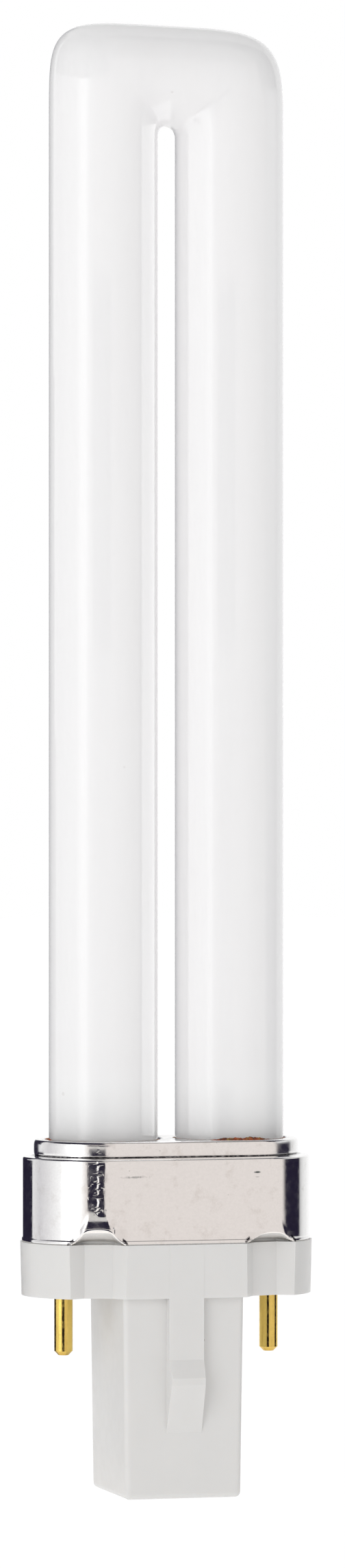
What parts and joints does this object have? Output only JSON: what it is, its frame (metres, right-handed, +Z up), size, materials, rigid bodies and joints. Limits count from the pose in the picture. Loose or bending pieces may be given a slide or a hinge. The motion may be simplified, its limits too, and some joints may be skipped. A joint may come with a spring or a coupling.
{
  "type": "compact fluorescent lamp",
  "caption": "Twin-leg compact fluorescent lamp: opal U-bent glass tube in a crimped metal collar, on a white plastic two-pin cap with a latching post.",
  "frame": {"origin": "middle of the flange's underside, midway between the two pins, where the cap seats on its lampholder", "axes": "+Z up along the glass legs to the bend, X through the two pins, front of the lamp towards -Y"},
  "size_m": [0.032, 0.0188, 0.1589],
  "materials": {
    "opal_glass": "glossy opal white",
    "polished_aluminium": "polished",
    "basing_cement": "matte brown cement",
    "cap_plastic": "satin off-white moulding",
    "pin_brass": "bright",
    "starter_glass": "clear bottle",
    "capacitor_coat": "dipped resin coat",
    "lead_wire": "bare wire"
  },
  "bodies": {
    "root": {"discharge_tube": "opal_glass", "collar": "polished_aluminium", "basing_cement": "basing_cement", "base_housing": "cap_plastic", "pin_left": "pin_brass", "pin_right": "pin_brass", "starter_bulb": "starter_glass", "capacitor": "capacitor_coat", "lead_pin_left": "lead_wire", "lead_pin_right": "lead_wire", "lead_starter_left": "lead_wire", "lead_starter_right": "lead_wire"}
  },
  "joints": []
}
